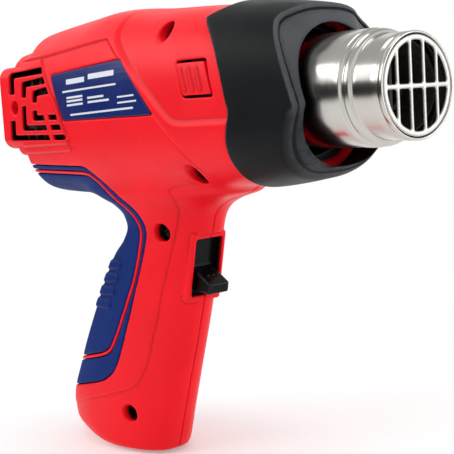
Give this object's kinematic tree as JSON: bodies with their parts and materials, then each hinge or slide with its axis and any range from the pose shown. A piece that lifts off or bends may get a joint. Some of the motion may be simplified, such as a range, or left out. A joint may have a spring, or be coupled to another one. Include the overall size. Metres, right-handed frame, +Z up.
{
  "type": "hot air tool",
  "caption": "Pistol-grip hot air tool: two-half plastic housing with soft grip, steel nozzle with outlet grille in a pull-off nose guard, slide switch, and heater, fan and motor inside.",
  "frame": {"origin": "centre of the outlet grille's front face, on the nozzle's axis", "axes": "+X along the nozzle, the way the air leaves; +Z up with the handle below; +Y to the left of someone holding it; Y = 0 is the plane where the housing halves meet"},
  "size_m": [0.238, 0.061, 0.1947],
  "materials": {
    "red_plastic": "satin moulded plastic, bright red",
    "soft_grip": "soft navy blue grip, matt",
    "black_plastic": "satin heat-resistant plastic, charcoal",
    "black_gloss": "glossy black plastic",
    "nozzle_steel": "bright drawn stainless steel",
    "grille_steel": "satin stainless steel",
    "mica": "pressed mica, matt",
    "heater_wire": "dull resistance wire",
    "ceramic": "unglazed ceramic",
    "zinc_steel": "zinc-plated steel",
    "screw_steel": "zinc-plated steel",
    "board": "coated circuit board",
    "plate_film": "navy printed film, bare",
    "black_rubber": "matt rubber"
  },
  "bodies": {
    "housing": {"housing_right": "red_plastic", "housing_left": "red_plastic", "grip_pad_right": "soft_grip", "grip_pad_left": "soft_grip", "grip_border_right": "soft_grip", "grip_border_left": "soft_grip", "nozzle_tube": "nozzle_steel", "outlet_grille": "grille_steel", "mica_sleeve": "mica", "heater_former": "mica", "heating_coil": "heater_wire", "heater_flange": "ceramic", "thermal_cutout": "zinc_steel", "motor": "zinc_steel", "motor_mount": "black_plastic", "motor_board": "board", "dust_screen_right": "zinc_steel", "dust_screen_left": "zinc_steel", "switch_body": "black_plastic", "housing_screw_rear": "screw_steel", "housing_screw_top": "screw_steel", "housing_screw_belly": "screw_steel", "housing_screw_neck": "screw_steel", "housing_screw_handle": "screw_steel", "rating_plate": "plate_film", "cord_gland": "black_rubber", "cord_clamp": "black_plastic", "clamp_screw_1": "screw_steel", "clamp_screw_2": "screw_steel"},
    "nose_guard": {"nose_guard": "black_plastic"},
    "switch_slider": {"switch_slider": "black_gloss"},
    "rotor": {"fan_impeller": "black_plastic", "motor_shaft": "zinc_steel"},
    "tab_right": {"release_tab_right": "red_plastic"},
    "tab_left": {"release_tab_left": "red_plastic"}
  },
  "joints": [
    {"name": "guard_slide", "type": "slide", "parent": "housing", "child": "nose_guard", "axis": [1, 0, 0], "range_m": [0, 0.09]},
    {"name": "switch_slide", "type": "slide", "parent": "housing", "child": "switch_slider", "axis": [0.2419, 0, 0.9703], "range_m": [0, 0.0115]},
    {"name": "fan_spin", "type": "hinge", "parent": "housing", "child": "rotor", "pos_m": [-0.2, 0, 0], "axis": [1, 0, 0], "continuous": true},
    {"name": "release_tab_right_press", "type": "hinge", "parent": "housing", "child": "tab_right", "pos_m": [-0.089, -0.0279, 0.0074], "axis": [-0.3162, 0, 0.9487], "range_deg": [0, 5], "stiffness_Nm_per_rad": 0.5},
    {"name": "release_tab_left_press", "type": "hinge", "parent": "housing", "child": "tab_left", "pos_m": [-0.089, 0.0279, 0.0074], "axis": [-0.3162, 0, 0.9487], "range_deg": [-5, 0], "stiffness_Nm_per_rad": 0.5}
  ]
}
